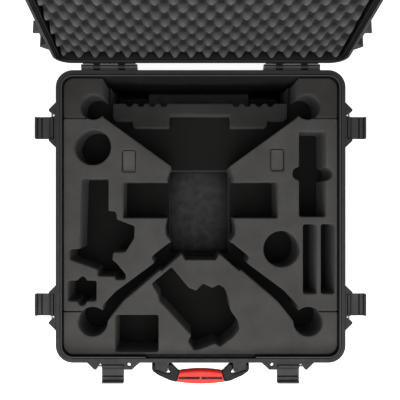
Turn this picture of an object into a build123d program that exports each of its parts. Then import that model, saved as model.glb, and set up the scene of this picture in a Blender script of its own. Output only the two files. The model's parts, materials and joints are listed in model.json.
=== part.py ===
from build123d import *
import math
import os

# Wheeled hard case with a fitted foam interior, lid open, latches open, carrying handle out.
# Millimetres. Origin on the floor under the middle of the base, +Y to the hinges, -Y to the handle.

os.makedirs("parts", exist_ok=True)

# ---- driving dimensions ----
RIM_X, RIM_Y, RIM_R = 606.0, 612.0, 36.0   # outside of both rim bands, in plan
BASE_H = 270.0                             # floor to the parting plane
LID_H = 105.5                              # parting plane to the top of the lid
WALL = 4.5
RIM_STEP = 8.5                             # how far the rim bands stand out from the walls
DRAFT = 1.0                                # degrees
LID_OPEN = 101.0                           # degrees from closed to the hinge stop
PART_GAP = 0.4                             # between the rims when the lid is shut
RUN_FIT = 0.05                             # radial clearance round a turning or sliding pin
SEAT_FIT = 0.02                            # radial clearance round a pin that stays put

HALF_X, HALF_Y = RIM_X / 2, RIM_Y / 2
SHELL_Z = 8.0                              # underside of the base shell, above its feet
FLOOR_Z = SHELL_Z + WALL
FLANGE_H = 28.0
LID_BAND_H = 24.0
LIP_H, LIP_T, GROOVE_T, GROOVE_D = 3.0, 2.0, 2.0, 3.0
NOTCH_HALF, NOTCH_DEEP = 115.0, 14.0       # recess in place of the lip, at the middle of the front
WALL_IN = RIM_STEP + WALL                  # rim edge to the inner wall
DRAFT_SLOPE = math.tan(math.radians(DRAFT))

# hinges
HINGE_X, HINGE_W = 191.0, 117.0
HINGE_U, HINGE_DROP = 7.5, 3.7             # pin behind the rim, and below the parting plane
KNUCKLE_R, PIN_R = 5.0, 2.5
LID_KNUCKLE_X, LID_KNUCKLE_W, KNUCKLE_SLOT = 26.0, 13.4, 14.0
LID_PLATE_W, LID_PLATE_T = 110.0, 6.0
HINGE_Y, HINGE_Z = HALF_Y + HINGE_U, BASE_H - HINGE_DROP
HINGE_AXIS = Axis((0, HINGE_Y, HINGE_Z), (1, 0, 0))

# latches: u is outward from the rim, v along it towards the corner, w up from the parting plane
LATCH_W = 46.5
SIDE_LATCH_Y, FRONT_LATCH_X = 186.0, 184.5
LATCH_U, LATCH_DROP = 9.0, 12.0            # pivot pin
LATCH_KNUCKLE_R, LATCH_PIN_R = 4.5, 2.2
LATCH_REACH, LATCH_TIP = 32.3, 37.0        # pivot to the hook's catching face, and to the tip
PLATE_NEAR, PLATE_T = 1.5, 4.0             # plate's near face from the pivot, and its thickness
HOOK_IN = 4.0                              # how far the hook reaches in past the pivot
LUG_OUT = 14.5
CATCH_TOP, CATCH_T, CATCH_OUT = 19.8, 7.0, 9.3
PADLOCK_R, PADLOCK_U, PADLOCK_V, PADLOCK_T = 3.75, 4.0, 34.8, 8.0

# carrying handle
HANDLE_U, HANDLE_DROP = 9.0, 14.0
ARM_T = 13.0
LEG_IN, LEG_OUT = (61.0, 68.0), (96.0, 102.2)
BRACKET_IN, BRACKET_OUT, BOSS_R, HOOD_T = 68.3, 95.7, 6.3, 5.0
GRIP_T, CORE_T = 19.0, 9.0
GRIP_PALM_R, GRIP_FINGER_R = 8.0, 5.0
GRIP_FIT = 0.1

# wheels and trolley
WHEEL_X, WHEEL_Y, WHEEL_Z, WHEEL_R, WHEEL_W = 215.0, 270.0, 33.0, 30.0, 26.0
AXLE_R, HUB_R = 4.0, 20.0
WELL_HALF, WELL_FRONT, WELL_TOP = 16.0, 236.0, 67.0
TUNNEL_HALF, TUNNEL_TOP = 120.0, 50.0
CHANNEL_HALF, CHANNEL_TOP, CHANNEL_END = 104.0, 45.0, 280.0
ROD_X, ROD_Z, ROD_R, GUIDE_R = 80.0, 28.0, 9.5, 11.0
GUIDE_FRONT, GUIDE_BACK, CLAMP_L = -258.0, 272.0, 22.0
PULL_FRONT, PULL_GAP, PULL_BACK = -303.0, -286.0, -266.0

# foam
FOAM_TOP, FOAM_MID, FOAM_LOW = 258.0, 148.0, 51.0
FOAM_IN = 14.5                             # rim edge to the foam at its top face
SEAM = 1.5
LID_FOAM_IN, LID_PAD_IN = 15.5, 26.0
LID_FOAM_FACE, LID_FOAM_SPLIT = 4.5, 60.0  # above the parting plane, with the lid shut


# ---- helpers ----
def save(piece, name):
    """Label a finished piece and write it as its own STEP file."""
    piece.part.label = name
    export_step(piece.part, f"parts/{name}.step")


def save_on_lid(piece, name):
    """The lid's pieces are drawn shut, then stored swung open about the hinge pins."""
    piece.part = piece.part.rotate(HINGE_AXIS, -LID_OPEN)
    save(piece, name)


def rim_outline(inset, mode=Mode.ADD):
    """The rim's rounded rectangle, moved inward."""
    RectangleRounded(RIM_X - 2 * inset, RIM_Y - 2 * inset, RIM_R - inset, mode=mode)


def rim_ring(outer, inner):
    """The strip between two insets of the rim."""
    rim_outline(outer)
    rim_outline(inner, mode=Mode.SUBTRACT)


def mirrored(points):
    """A right-hand half outline, joined to its mirror image."""
    return points + [(-x, y) for x, y in reversed(points)]


def flip(points, side):
    """An outline drawn for the right-hand side, put on either side."""
    return [(side * x, y) for x, y in points]


class Station:
    """A latch position: the middle of the rim face, its outward normal and the way to the corner."""

    def __init__(self, name, centre, outward, corner):
        self.name, self.centre, self.outward, self.corner = name, centre, outward, corner
        self.front = outward == (0, -1)

    def plan(self, u, v):
        return tuple(self.centre[i] + u * self.outward[i] + v * self.corner[i] for i in (0, 1))

    def outline(self, points):
        return [self.plan(u, v) for u, v in points]

    def section(self, u=0, v=0, w=0):
        """The upright plane across the rim, with u and w as its own axes."""
        out = Vector(*self.outward, 0)
        return Plane(origin=(*self.plan(u, v), BASE_H + w), x_dir=out, z_dir=out.cross(Vector(0, 0, 1)))


LATCHES = [
    Station("left_rear", (-HALF_X, SIDE_LATCH_Y), (-1, 0), (0, 1)),
    Station("left_front", (-HALF_X, -SIDE_LATCH_Y), (-1, 0), (0, -1)),
    Station("right_rear", (HALF_X, SIDE_LATCH_Y), (1, 0), (0, 1)),
    Station("right_front", (HALF_X, -SIDE_LATCH_Y), (1, 0), (0, -1)),
    Station("front_left", (-FRONT_LATCH_X, -HALF_Y), (0, -1), (-1, 0)),
    Station("front_right", (FRONT_LATCH_X, -HALF_Y), (0, -1), (1, 0)),
]

ROOT = -2.0                                # lugs start this far inside the rim face
PIN_SPAN_SIDE, PIN_SPAN_FRONT = (-32.0, 36.0), (-29.5, 36.0)
CORNER_LUG = [(ROOT, 24.5), (0, 24.5), (LUG_OUT - 3, 31.5), (LUG_OUT, 35), (LUG_OUT, 38), (0, 52.5),
              (ROOT, 52.5)]
SLOPING_LUG = [(ROOT, -24), (LUG_OUT, -24), (LUG_OUT, -28), (0, -42), (ROOT, -42)]
PADLOCK_CHEEK = [(ROOT, -24), (LUG_OUT, -24), (LUG_OUT, -30), (ROOT, -30)]
PADLOCK_LUG = [(ROOT, -24), (LUG_OUT, -24), (LUG_OUT, -41), (0, -57), (ROOT, -57)]


def add_lugs(station, bottom, top, padlock_bottom):
    """The lugs each side of a latch, between two levels measured from the parting plane."""
    inner = PADLOCK_CHEEK if station.front else SLOPING_LUG
    for points in (CORNER_LUG, inner):
        with BuildSketch(Plane.XY.offset(BASE_H + bottom)) as outline:
            Polygon(*station.outline(points), align=None)
        extrude(outline.sketch, amount=top - bottom)
    if station.front:
        with BuildSketch(Plane.XY.offset(BASE_H + padlock_bottom)) as outline:
            Polygon(*station.outline(PADLOCK_LUG), align=None)
            with Locations(station.plan(PADLOCK_U, -PADLOCK_V)):
                Circle(PADLOCK_R, mode=Mode.SUBTRACT)
        extrude(outline.sketch, amount=PADLOCK_T)


def latch_pin(station, radius, end_gap=0.0, mode=Mode.ADD):
    """A latch's pivot pin, or the hole for it, from the inner lug to the corner lug."""
    start, end = PIN_SPAN_FRONT if station.front else PIN_SPAN_SIDE
    with BuildSketch(station.section(LATCH_U, (start + end) / 2, -LATCH_DROP)) as outline:
        Circle(radius)
    extrude(outline.sketch, amount=(end - start) / 2 - end_gap, both=True, mode=mode)


# ---- base shell ----
RIB_X = [-60.0, 60.0]
RIB_Y = [-95.0, 0.0, 95.0]
RIB_W, RIB_OUT = 26.0, 4.5
FOOT_AT = [(235, -235), (-235, -235), (255, 200), (-255, 200)]
FOOT_R, FOOT_STEM_R, FOOT_STEM = 15.0, 4.0, 3.0
COVER_HALF, COVER_FRONT, COVER_BACK = 118.0, -262.0, 276.0
SCREW_X, SCREW_Y, SCREW_R, SCREW_HEAD_R, SCREW_TOP = 112.0, (-225, -75, 75, 225), 2.0, 3.8, 20.0
VALVE_X, VALVE_Z, VALVE_R, VALVE_STEM_R = -139.0, 205.0, 14.0, 7.0
VALVE_FACE_Y = -HALF_Y + 7.0


def rib_profile(half):
    """A bar right through the shell, which leaves one rib on each of two facing walls."""
    top, low, foot = BASE_H - FLANGE_H + 1, 60.0, 44.0
    reach = half - RIM_STEP + RIB_OUT
    return mirrored([(reach, top), (reach - 3, low), (reach - RIB_OUT - 6, foot)])


def add_hinge_leaf(x):
    """Three knuckles on the base, with slots between them for the lid's two."""
    with BuildSketch(Plane.YZ.offset(x)) as outline:
        with BuildLine():
            Polyline((HALF_Y - 2, BASE_H - FLANGE_H), (HALF_Y, BASE_H - FLANGE_H),
                     (HINGE_Y + KNUCKLE_R, HINGE_Z - 9), (HINGE_Y + KNUCKLE_R, HINGE_Z),
                     (HINGE_Y, BASE_H - PART_GAP), (HALF_Y - 2, BASE_H - PART_GAP), close=True)
        make_face()
        with Locations((HINGE_Y, HINGE_Z)):
            Circle(KNUCKLE_R)
    extrude(outline.sketch, amount=HINGE_W / 2, both=True)
    for side in (-1, 1):
        with BuildSketch(Plane.YZ.offset(x + side * LID_KNUCKLE_X)) as outline:
            with Locations((HINGE_Y, HINGE_Z)):
                Rectangle(2 * HINGE_U - 0.4, 2 * (KNUCKLE_R + 1.5))
        extrude(outline.sketch, amount=KNUCKLE_SLOT / 2, both=True, mode=Mode.SUBTRACT)
    with BuildSketch(Plane.YZ.offset(x)) as outline:
        with Locations((HINGE_Y, HINGE_Z)):
            Circle(PIN_R + SEAT_FIT)
    extrude(outline.sketch, amount=HINGE_W / 2 + 1, both=True, mode=Mode.SUBTRACT)


def add_latch_seat(station):
    """The lugs, the shelf that closes the pocket behind the latch, and the pivot's pin hole."""
    add_lugs(station, -26, -1, -1 - PADLOCK_T)
    for low, high, out in ((-22, -1, 3.4), (-22, -19, LATCH_U)):
        with BuildSketch(Plane.XY.offset(BASE_H + low)) as outline:
            Polygon(*station.outline([(ROOT, -24.5), (out, -24.5), (out, 25), (ROOT, 25)]), align=None)
        extrude(outline.sketch, amount=high - low)
    latch_pin(station, LATCH_PIN_R + SEAT_FIT, mode=Mode.SUBTRACT)


HOOD = [(BRACKET_IN, ROOT), (BRACKET_IN, 17), (71.5, 19), (71.5, 22), (91.5, 14.2), (BRACKET_OUT, 10.5),
        (BRACKET_OUT, ROOT)]
PIVOT_Z = BASE_H - HANDLE_DROP
HANDLE_PIN_MID = (LEG_IN[0] + LEG_OUT[1]) / 2
HANDLE_PIN_HALF = (LEG_OUT[1] - LEG_IN[0]) / 2 - 0.5


def handle_points(points):
    """Points given as x and distance out from the rim."""
    return [(x, -HALF_Y - out) for x, out in points]


def handle_pin(side, radius, end_gap=0.0, mode=Mode.ADD):
    with BuildSketch(Plane.YZ.offset(side * HANDLE_PIN_MID)) as outline:
        with Locations((-HALF_Y - HANDLE_U, PIVOT_Z)):
            Circle(radius)
    extrude(outline.sketch, amount=HANDLE_PIN_HALF - end_gap, both=True, mode=mode)


def add_handle_bracket(side):
    """The boss between the two legs of one handle arm, and the hood over it."""
    root, pivot_y, top = -HALF_Y - ROOT, -HALF_Y - HANDLE_U, BASE_H - 1
    with BuildSketch(Plane.YZ.offset(side * (BRACKET_IN + BRACKET_OUT) / 2)) as outline:
        Polygon((root, top), (pivot_y, top), (pivot_y, PIVOT_Z - BOSS_R), (root, PIVOT_Z - BOSS_R),
                align=None)
        with Locations((pivot_y, PIVOT_Z)):
            Circle(BOSS_R)
    extrude(outline.sketch, amount=(BRACKET_OUT - BRACKET_IN) / 2, both=True)
    with BuildSketch(Plane.XY.offset(top - HOOD_T)) as outline:
        Polygon(*handle_points(flip(HOOD, side)), align=None)
    extrude(outline.sketch, amount=HOOD_T)
    handle_pin(side, PIN_R + SEAT_FIT, mode=Mode.SUBTRACT)


with BuildPart() as cavity:
    with BuildSketch(Plane.XY.offset(BASE_H)):
        rim_outline(WALL_IN)
    extrude(amount=-(BASE_H - FLOOR_Z), taper=DRAFT)
    fillet(cavity.faces().sort_by(Axis.Z)[0].edges(), 8)
    with BuildSketch(Plane.XY.offset(BASE_H)):
        rim_outline(WALL_IN)
    extrude(amount=LIP_H + 1)
    with BuildSketch(Plane.XY.offset(FLOOR_Z)):
        Rectangle(2 * TUNNEL_HALF, RIM_Y)
    extrude(amount=TUNNEL_TOP - FLOOR_Z, mode=Mode.SUBTRACT)
    with BuildSketch(Plane.XY.offset(FLOOR_Z)):
        with Locations((WHEEL_X, HALF_Y), (-WHEEL_X, HALF_Y)):
            Rectangle(2 * (WELL_HALF + WALL), 2 * (HALF_Y - WELL_FRONT + WALL))
    extrude(amount=WELL_TOP + WALL - FLOOR_Z, mode=Mode.SUBTRACT)

with BuildPart() as base_band:
    with BuildSketch(Plane.XY.offset(BASE_H)):
        rim_outline(0)
    extrude(amount=-FLANGE_H)
    fillet(base_band.faces().sort_by(Axis.Z)[-1].edges(), 1.5)
    chamfer(base_band.faces().sort_by(Axis.Z)[0].edges(), 3)

with BuildPart() as base_shell:
    with BuildSketch(Plane.XY.offset(BASE_H)):
        rim_outline(RIM_STEP)
    extrude(amount=-(BASE_H - SHELL_Z), taper=DRAFT)
    fillet(base_shell.faces().sort_by(Axis.Z)[0].edges(), 12)
    for y in RIB_Y:
        with BuildSketch(Plane.XZ.offset(-y)):
            Polygon(*rib_profile(HALF_X), align=None)
        extrude(amount=RIB_W / 2, both=True)
    for x in RIB_X:
        with BuildSketch(Plane.YZ.offset(x)):
            Polygon(*rib_profile(HALF_Y), align=None)
        extrude(amount=RIB_W / 2, both=True)
    with BuildSketch(Plane.XZ.offset(-VALVE_FACE_Y)):
        with Locations((VALVE_X, VALVE_Z)):
            RectangleRounded(40, 40, 6)
    extrude(amount=-14)
    add(base_band.part)
    # seat for the lid's seal: an upstanding lip inside a shallow groove, with a recess at the front
    with BuildSketch(Plane.XY.offset(BASE_H)):
        rim_ring(WALL_IN - LIP_T, WALL_IN + 1)
    extrude(amount=LIP_H)
    with BuildSketch(Plane.XY.offset(BASE_H)):
        rim_ring(WALL_IN - LIP_T - GROOVE_T, WALL_IN - LIP_T)
    extrude(amount=-GROOVE_D, mode=Mode.SUBTRACT)
    with BuildSketch(Plane.XY.offset(BASE_H - NOTCH_DEEP)):
        with Locations((0, -HALF_Y + WALL_IN - (LIP_T + GROOVE_T - 1) / 2)):
            Rectangle(2 * NOTCH_HALF, LIP_T + GROOVE_T + 1)
    extrude(amount=NOTCH_DEEP + LIP_H, mode=Mode.SUBTRACT)
    for latch in LATCHES:
        add_latch_seat(latch)
    for side in (-1, 1):
        add_hinge_leaf(side * HINGE_X)
        add_handle_bracket(side)
    add(cavity.part, mode=Mode.SUBTRACT)
    # channel under the floor for the trolley, open at the front and underneath
    with BuildSketch(Plane.XY.offset(SHELL_Z)):
        with Locations((0, (CHANNEL_END - HALF_Y) / 2)):
            Rectangle(2 * CHANNEL_HALF, CHANNEL_END + HALF_Y)
    extrude(amount=CHANNEL_TOP - SHELL_Z, mode=Mode.SUBTRACT)
    with BuildSketch(Plane.XY.offset(SHELL_Z)):
        with Locations(*[(side * SCREW_X, y) for side in (-1, 1) for y in SCREW_Y]):
            Circle(SCREW_R + SEAT_FIT)
    extrude(amount=SCREW_TOP - SHELL_Z + 1, mode=Mode.SUBTRACT)
    # wheel wells, open behind and underneath, with the axle's holes
    with BuildSketch(Plane.XY):
        with Locations((WHEEL_X, (WELL_FRONT + HALF_Y) / 2), (-WHEEL_X, (WELL_FRONT + HALF_Y) / 2)):
            Rectangle(2 * WELL_HALF, HALF_Y - WELL_FRONT)
    extrude(amount=WELL_TOP, mode=Mode.SUBTRACT)
    for side in (-1, 1):
        with BuildSketch(Plane.YZ.offset(side * WHEEL_X)):
            with Locations((WHEEL_Y, WHEEL_Z)):
                Circle(AXLE_R + SEAT_FIT)
        extrude(amount=WELL_HALF + 3, both=True, mode=Mode.SUBTRACT)
    with BuildSketch(Plane.XY.offset(SHELL_Z)):
        with Locations(*FOOT_AT):
            Circle(FOOT_STEM_R + SEAT_FIT)
    extrude(amount=FOOT_STEM + 0.2, mode=Mode.SUBTRACT)
    with BuildSketch(Plane.XZ.offset(-VALVE_FACE_Y)):
        with Locations((VALVE_X, VALVE_Z)):
            Circle(VALVE_STEM_R + SEAT_FIT)
    extrude(amount=-20, mode=Mode.SUBTRACT)
save(base_shell, "base_shell")


# ---- pins, feet, valve ----
with BuildPart() as hinge_pins:
    for side in (-1, 1):
        with BuildSketch(Plane.YZ.offset(side * HINGE_X)):
            with Locations((HINGE_Y, HINGE_Z)):
                Circle(PIN_R)
        extrude(amount=HINGE_W / 2, both=True)
save(hinge_pins, "hinge_pins")

with BuildPart() as latch_pins:
    for latch in LATCHES:
        latch_pin(latch, LATCH_PIN_R, end_gap=0.2)
save(latch_pins, "latch_pins")

with BuildPart() as handle_pins:
    for side in (-1, 1):
        handle_pin(side, PIN_R, end_gap=0.1)
save(handle_pins, "handle_pins")

with BuildPart() as wheel_axles:
    for side in (-1, 1):
        with BuildSketch(Plane.YZ.offset(side * WHEEL_X)):
            with Locations((WHEEL_Y, WHEEL_Z)):
                Circle(AXLE_R)
        extrude(amount=WELL_HALF + 2.8, both=True)
save(wheel_axles, "wheel_axles")

with BuildPart() as rubber_feet:
    with BuildSketch(Plane.XY):
        with Locations(*FOOT_AT):
            Circle(FOOT_R)
    extrude(amount=SHELL_Z)
    chamfer(rubber_feet.faces().group_by(Axis.Z)[0].edges(), 1.5)
    with BuildSketch(Plane.XY.offset(SHELL_Z)):
        with Locations(*FOOT_AT):
            Circle(FOOT_STEM_R)
    extrude(amount=FOOT_STEM)
save(rubber_feet, "rubber_feet")

with BuildPart() as pressure_valve:
    with BuildSketch(Plane.XZ.offset(-VALVE_FACE_Y)):
        with Locations((VALVE_X, VALVE_Z)):
            RegularPolygon(VALVE_R, 8)
    extrude(amount=5)
    chamfer(pressure_valve.faces().sort_by(Axis.Y)[0].edges(), 1)
    with BuildSketch(Plane.XZ.offset(-VALVE_FACE_Y + 5)):
        with Locations((VALVE_X, VALVE_Z)):
            Circle(9)
            Rectangle(13, 3, mode=Mode.SUBTRACT)
    extrude(amount=-2, mode=Mode.SUBTRACT)
    with BuildSketch(Plane.XZ.offset(-VALVE_FACE_Y)):
        with Locations((VALVE_X, VALVE_Z)):
            Circle(VALVE_STEM_R)
    extrude(amount=-WALL)
save(pressure_valve, "pressure_valve")


# ---- lid ----
LID_BOTTOM, LID_TOP = BASE_H + PART_GAP, BASE_H + LID_H
SEAL_STEP_IN, SEAL_STEP_H = 6.0, 5.0
SEAL_IN, SEAL_OUT, SEAL_FACE = 10.6, 6.6, 0.9
PANEL_IN, PANEL_D = 60.0, 1.5
LID_RIB_X, LID_RIB_Y = [-200.0, -100.0, 0.0, 100.0, 200.0], [-95.0, 0.0, 95.0]


def lid_rib_profile(half):
    reach = half - RIM_STEP + RIB_OUT
    return mirrored([(reach, LID_BOTTOM + LID_BAND_H - 1), (reach - 3, LID_TOP - 30),
                     (reach - RIB_OUT - 4, LID_TOP - 16)])


def add_lid_leaf(x):
    """The lid's hinge plate with two knuckles, which drop into the base's slots."""
    with BuildSketch(Plane.YZ.offset(x)) as outline:
        Polygon((HALF_Y + ROOT, BASE_H + 1.4), (HALF_Y + LID_PLATE_T, BASE_H + 1.4),
                (HALF_Y + LID_PLATE_T, BASE_H + 18), (HALF_Y, BASE_H + LID_BAND_H),
                (HALF_Y + ROOT, BASE_H + LID_BAND_H), align=None)
    extrude(outline.sketch, amount=LID_PLATE_W / 2, both=True)
    for side in (-1, 1):
        with BuildSketch(Plane.YZ.offset(x + side * LID_KNUCKLE_X)) as outline:
            Polygon((HINGE_Y - 4.5, HINGE_Z + 0.7), (HINGE_Y - 4.5, BASE_H + 6),
                    (HINGE_Y - 1.5, BASE_H + 6), (HINGE_Y + 3.5, HINGE_Z + 2.5), align=None)
            with Locations((HINGE_Y, HINGE_Z)):
                Circle(KNUCKLE_R)
        extrude(outline.sketch, amount=LID_KNUCKLE_W / 2, both=True)
    with BuildSketch(Plane.YZ.offset(x)) as outline:
        with Locations((HINGE_Y, HINGE_Z)):
            Circle(PIN_R + RUN_FIT)
    extrude(outline.sketch, amount=HINGE_W / 2, both=True, mode=Mode.SUBTRACT)


def add_catch(station):
    """The lid's lugs, and the ledge between them that the latch's hook holds."""
    add_lugs(station, 1, LID_BAND_H, 1)
    with BuildSketch(Plane.XY.offset(BASE_H + CATCH_TOP - CATCH_T)) as outline:
        Polygon(*station.outline([(ROOT, -24.5), (CATCH_OUT, -24.5), (CATCH_OUT, 29), (ROOT, 29)]),
                align=None)
    extrude(outline.sketch, amount=CATCH_T)


with BuildPart() as lid_cavity:
    with BuildSketch(Plane.XY.offset(LID_BOTTOM)):
        rim_outline(WALL_IN)
    extrude(amount=LID_H - PART_GAP - WALL, taper=DRAFT)
    fillet(lid_cavity.faces().sort_by(Axis.Z)[-1].edges(), 8)
    with BuildSketch(Plane.XY.offset(LID_BOTTOM)):
        rim_outline(SEAL_STEP_IN)
    extrude(amount=SEAL_STEP_H)

with BuildPart() as lid_band:
    with BuildSketch(Plane.XY.offset(LID_BOTTOM)):
        rim_outline(0)
    extrude(amount=LID_BAND_H)
    fillet(lid_band.faces().sort_by(Axis.Z)[0].edges(), 1.5)
    chamfer(lid_band.faces().sort_by(Axis.Z)[-1].edges(), 3)

with BuildPart() as lid_shell:
    with BuildSketch(Plane.XY.offset(LID_BOTTOM)):
        rim_outline(RIM_STEP)
    extrude(amount=LID_H - PART_GAP, taper=DRAFT)
    fillet(lid_shell.faces().sort_by(Axis.Z)[-1].edges(), 14)
    for y in LID_RIB_Y:
        with BuildSketch(Plane.XZ.offset(-y)):
            Polygon(*lid_rib_profile(HALF_X), align=None)
        extrude(amount=RIB_W / 2, both=True)
    for x in LID_RIB_X:
        with BuildSketch(Plane.YZ.offset(x)):
            Polygon(*lid_rib_profile(HALF_Y), align=None)
        extrude(amount=RIB_W / 2, both=True)
    add(lid_band.part)
    for latch in LATCHES:
        add_catch(latch)
    for side in (-1, 1):
        add_lid_leaf(side * HINGE_X)
    add(lid_cavity.part, mode=Mode.SUBTRACT)
    # shallow panels pressed into the top, each side of a raised cross
    with BuildSketch(Plane.XY.offset(LID_TOP)):
        with GridLocations((RIM_X - PANEL_IN) / 2, (RIM_Y - PANEL_IN) / 2, 2, 2):
            RectangleRounded((RIM_X - PANEL_IN) / 2 - 40, (RIM_Y - PANEL_IN) / 2 - 40, 14)
    extrude(amount=-PANEL_D, mode=Mode.SUBTRACT)
save_on_lid(lid_shell, "lid_shell")

with BuildPart() as lid_seal:
    with BuildSketch(Plane.XY.offset(BASE_H + SEAL_FACE)):
        rim_ring(SEAL_OUT, SEAL_IN)
    extrude(amount=LID_BOTTOM + SEAL_STEP_H - BASE_H - SEAL_FACE)
save_on_lid(lid_seal, "lid_seal")

with BuildPart() as lid_foam_eggcrate:
    with BuildSketch(Plane.XY.offset(BASE_H + LID_FOAM_FACE)):
        rim_outline(LID_FOAM_IN)
    extrude(amount=LID_FOAM_SPLIT - LID_FOAM_FACE, taper=DRAFT)
save_on_lid(lid_foam_eggcrate, "lid_foam_eggcrate")

with BuildPart() as lid_foam_backing:
    with BuildSketch(Plane.XY.offset(BASE_H + LID_FOAM_SPLIT + 0.3)):
        rim_outline(LID_PAD_IN)
    extrude(amount=LID_H - WALL - LID_FOAM_SPLIT - 0.6)
save_on_lid(lid_foam_backing, "lid_foam_backing")


# ---- latches ----
GRIP_GROOVE, GROOVE_W, GROOVE_DEEP = 20.4, 3.2, 2.0
FINGER_T = 2.0


def latch_plate(station):
    """An open latch: knuckle at the rim, plate running outward, hook standing up at its tip."""
    near, far = -PLATE_NEAR, -PLATE_NEAR - PLATE_T
    with BuildPart() as plate:
        with BuildSketch(station.section(LATCH_U, 0, -LATCH_DROP)) as outline:
            Polygon((0, near), (GRIP_GROOVE, near), (GRIP_GROOVE, near - GROOVE_DEEP),
                    (GRIP_GROOVE + GROOVE_W, near - GROOVE_DEEP), (GRIP_GROOVE + GROOVE_W, near),
                    (LATCH_REACH, near), (LATCH_REACH, HOOK_IN), (LATCH_TIP - 1.5, HOOK_IN),
                    (LATCH_TIP, HOOK_IN - 2), (LATCH_TIP, far - FINGER_T), (LATCH_TIP - 7, far - FINGER_T),
                    (LATCH_TIP - 11, far), (0, far), align=None)
            Circle(LATCH_KNUCKLE_R)
            Circle(LATCH_PIN_R + RUN_FIT, mode=Mode.SUBTRACT)
        extrude(outline.sketch, amount=LATCH_W / 2, both=True)
        outward = Axis((0, 0, 0), (*station.outward, 0))
        fillet(plate.edges().filter_by(Axis.Z).sort_by(outward)[-2:], 3)
    return plate


for latch in LATCHES:
    save(latch_plate(latch), f"latch_{latch.name}")


# ---- carrying handle ----
ARM = [(LEG_IN[1], HANDLE_U), (LEG_OUT[1], HANDLE_U), (LEG_OUT[1], 15.3), (99.8, 20), (88.5, 28),
       (74.6, 34.3), (64, 39), (50.9, 42), (43.6, 18.6), (47.2, 17.3), (59.5, 4.5), (LEG_IN[1], 4.5)]
ARM_WINDOW = [(LEG_OUT[0], 0), (LEG_OUT[0], 16.3), (88, 18.3), (71, 24), (64.5, 24.5), (64.5, 19.5),
              (LEG_IN[1], 17), (LEG_IN[1], 0)]
GRIP_END_IN, GRIP_END_OUT = (43.0, 17.5), (50.5, 41.5)
GRIP_CROWN_IN, GRIP_CROWN_OUT = 14.0, 45.5
CORE_HALF, CORE_NEAR, CORE_FAR = 55.0, 20.5, 29.0
GRIP_SLOT = [(2.2, 30), (44.5, 30), (45.8, 34.8), (2.2, 34.8)]

with BuildPart() as handle_frame:
    for side in (-1, 1):
        with BuildSketch(Plane.XY.offset(PIVOT_Z)):
            Polygon(*handle_points(flip(ARM, side)), align=None)
            Polygon(*handle_points(flip(ARM_WINDOW, side)), align=None, mode=Mode.SUBTRACT)
        extrude(amount=ARM_T / 2, both=True)
        for near, far in (LEG_IN, LEG_OUT):
            with BuildSketch(Plane.YZ.offset(side * (near + far) / 2)):
                with Locations((-HALF_Y - HANDLE_U, PIVOT_Z)):
                    Circle(ARM_T / 2)
            extrude(amount=(far - near) / 2, both=True)
    with BuildSketch(Plane.XY.offset(PIVOT_Z)):
        Polygon(*handle_points(mirrored([(CORE_HALF, CORE_NEAR), (CORE_HALF, CORE_FAR)])), align=None)
    extrude(amount=CORE_T / 2, both=True)
    for side in (-1, 1):
        handle_pin(side, PIN_R + RUN_FIT, -1.0, mode=Mode.SUBTRACT)
save(handle_frame, "handle_frame")

with BuildPart() as handle_grip:
    with BuildSketch(Plane.XY.offset(PIVOT_Z)):
        with BuildLine():
            inner = handle_points([GRIP_END_IN, (-GRIP_END_IN[0], GRIP_END_IN[1])])
            outer = handle_points([GRIP_END_OUT, (-GRIP_END_OUT[0], GRIP_END_OUT[1])])
            ThreePointArc(inner[0], (0, -HALF_Y - GRIP_CROWN_IN), inner[1])
            Line(inner[1], outer[1])
            ThreePointArc(outer[1], (0, -HALF_Y - GRIP_CROWN_OUT), outer[0])
            Line(outer[0], inner[0])
        make_face()
    extrude(amount=GRIP_T / 2, both=True)
    long_edges = handle_grip.edges().filter_by(GeomType.CIRCLE).sort_by(Axis.Y)
    fillet(long_edges[2:], GRIP_PALM_R)
    fillet(handle_grip.edges().filter_by(GeomType.CIRCLE).sort_by(Axis.Y)[:2], GRIP_FINGER_R)
    with BuildSketch(Plane.XY.offset(PIVOT_Z)):
        near, far = CORE_NEAR - GRIP_FIT, CORE_FAR + GRIP_FIT
        Polygon(*handle_points(mirrored([(CORE_HALF + 5, near), (CORE_HALF + 5, far)])), align=None)
    extrude(amount=CORE_T / 2 + GRIP_FIT, both=True, mode=Mode.SUBTRACT)
    with BuildSketch(Plane.XY.offset(PIVOT_Z)):
        for side in (-1, 1):
            Polygon(*handle_points(flip(GRIP_SLOT, side)), align=None)
    extrude(amount=GRIP_T, both=True, mode=Mode.SUBTRACT)
save(handle_grip, "handle_grip")


# ---- wheels ----
TREAD_R, HUB_DISH, HUB_BOSS_R = 4.0, 4.0, 9.0

for side, name in ((-1, "left"), (1, "right")):
    with BuildPart() as tyre:
        with BuildSketch(Plane.YZ.offset(side * WHEEL_X)):
            with Locations((WHEEL_Y, WHEEL_Z)):
                Circle(WHEEL_R)
        extrude(amount=WHEEL_W / 2, both=True)
        fillet(tyre.edges(), TREAD_R)
        with BuildSketch(Plane.YZ.offset(side * WHEEL_X)):
            with Locations((WHEEL_Y, WHEEL_Z)):
                Circle(HUB_R + SEAT_FIT)
        extrude(amount=WHEEL_W, both=True, mode=Mode.SUBTRACT)
    save(tyre, f"wheel_{name}_tyre")
    with BuildPart() as hub:
        with BuildSketch(Plane.YZ.offset(side * WHEEL_X)):
            with Locations((WHEEL_Y, WHEEL_Z)):
                Circle(HUB_R)
                Circle(AXLE_R + RUN_FIT, mode=Mode.SUBTRACT)
        extrude(amount=WHEEL_W / 2, both=True)
        for face in (-1, 1):
            with BuildSketch(Plane.YZ.offset(side * WHEEL_X + face * (WHEEL_W / 2 - HUB_DISH / 2))):
                with Locations((WHEEL_Y, WHEEL_Z)):
                    Circle(HUB_R - 3)
                    Circle(HUB_BOSS_R, mode=Mode.SUBTRACT)
            extrude(amount=HUB_DISH / 2, both=True, mode=Mode.SUBTRACT)
    save(hub, f"wheel_{name}_hub")


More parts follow.
